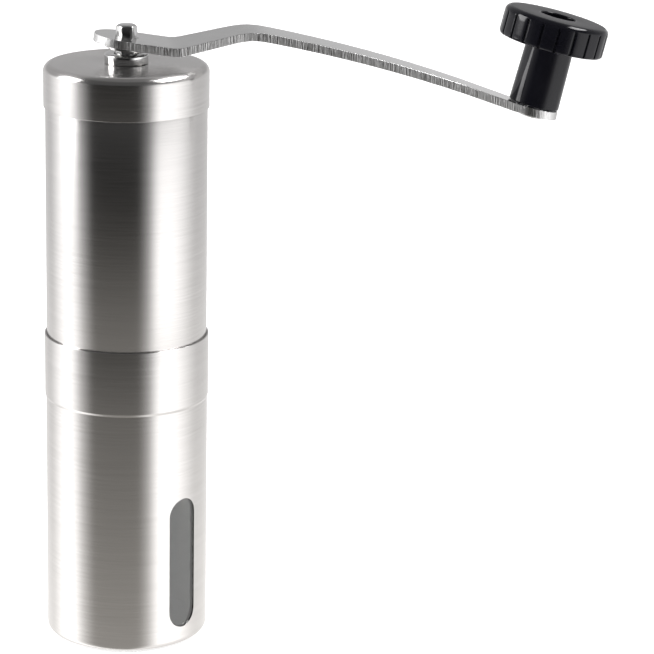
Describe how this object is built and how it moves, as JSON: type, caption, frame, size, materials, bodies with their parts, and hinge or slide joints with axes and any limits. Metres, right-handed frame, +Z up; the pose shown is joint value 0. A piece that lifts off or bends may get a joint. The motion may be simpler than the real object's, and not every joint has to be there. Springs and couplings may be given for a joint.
{
  "type": "hand crank coffee grinder",
  "caption": "Slim steel hand coffee grinder with a bent lift-off crank, black knob, push-on lid, bean hopper, ceramic conical burrs and a catch container with a sight window.",
  "frame": {"origin": "centre of the container's flat base, on the axis of the cylinder, on the surface the grinder stands on", "axes": "+Z up along the cylinder; +X the way the crank points at rest"},
  "size_m": [0.1652, 0.0482, 0.1881],
  "materials": {
    "brushed_steel": "fine horizontal brushing, satin",
    "polished_steel": "polished bright steel",
    "spring_steel": "plain drawn steel",
    "brass": "turned brass",
    "knob_plastic": "moulded, glossy black",
    "black_plastic": "moulded, satin black",
    "ceramic": "fired, unglazed, off-white",
    "clear_plastic": "clear moulded plastic"
  },
  "bodies": {
    "container": {"container_shell": "brushed_steel", "window_pane": "clear_plastic"},
    "hopper": {"hopper_tube": "brushed_steel", "burr_carrier": "black_plastic", "lower_bushing": "brass", "upper_bridge": "black_plastic", "upper_bushing": "brass", "outer_burr": "ceramic", "burr_retainer": "black_plastic"},
    "lid": {"lid": "brushed_steel", "lid_bushing": "polished_steel"},
    "shaft": {"drive_shaft": "polished_steel", "shaft_clip": "spring_steel", "thrust_washer": "spring_steel", "spring": "spring_steel"},
    "turning_burr": {"inner_burr": "ceramic", "burr_core": "black_plastic", "spring_washer": "spring_steel"},
    "adjuster": {"adjuster_nut": "black_plastic", "adjuster_insert": "brass"},
    "crank": {"crank_arm": "polished_steel", "crank_boss": "polished_steel", "knob_rivet": "polished_steel", "knob_washer": "spring_steel"},
    "knob": {"knob": "knob_plastic"}
  },
  "joints": [
    {"name": "hopper_lift", "type": "slide", "parent": "container", "child": "hopper", "axis": [0, 0, 1], "range_m": [0, 0.06]},
    {"name": "lid_lift", "type": "slide", "parent": "hopper", "child": "lid", "axis": [0, 0, 1], "range_m": [0, 0.045]},
    {"name": "shaft_spin", "type": "hinge", "parent": "hopper", "child": "shaft", "pos_m": [0, 0, 0.1], "axis": [0, 0, 1], "continuous": true},
    {"name": "burr_travel", "type": "slide", "parent": "shaft", "child": "turning_burr", "axis": [0, 0, 1], "range_m": [0, 0.0012], "deforming": ["spring"]},
    {"name": "adjuster_turn", "type": "hinge", "parent": "turning_burr", "child": "adjuster", "pos_m": [0, 0, 0.061], "axis": [0, 0, 1], "range_deg": [0, 540]},
    {"name": "crank_lift", "type": "slide", "parent": "shaft", "child": "crank", "axis": [0, 0, 1], "range_m": [0, 0.09]},
    {"name": "knob_spin", "type": "hinge", "parent": "crank", "child": "knob", "pos_m": [0.12004, 0, 0.15874], "axis": [0.2377, 0, 0.9713], "continuous": true}
  ],
  "couplings": [
    {"joint": "lid_lift", "follows": "crank_lift", "ratio": 0.5},
    {"joint": "adjuster_turn", "follows": "burr_travel", "rad_per_m": 7853.9}
  ]
}
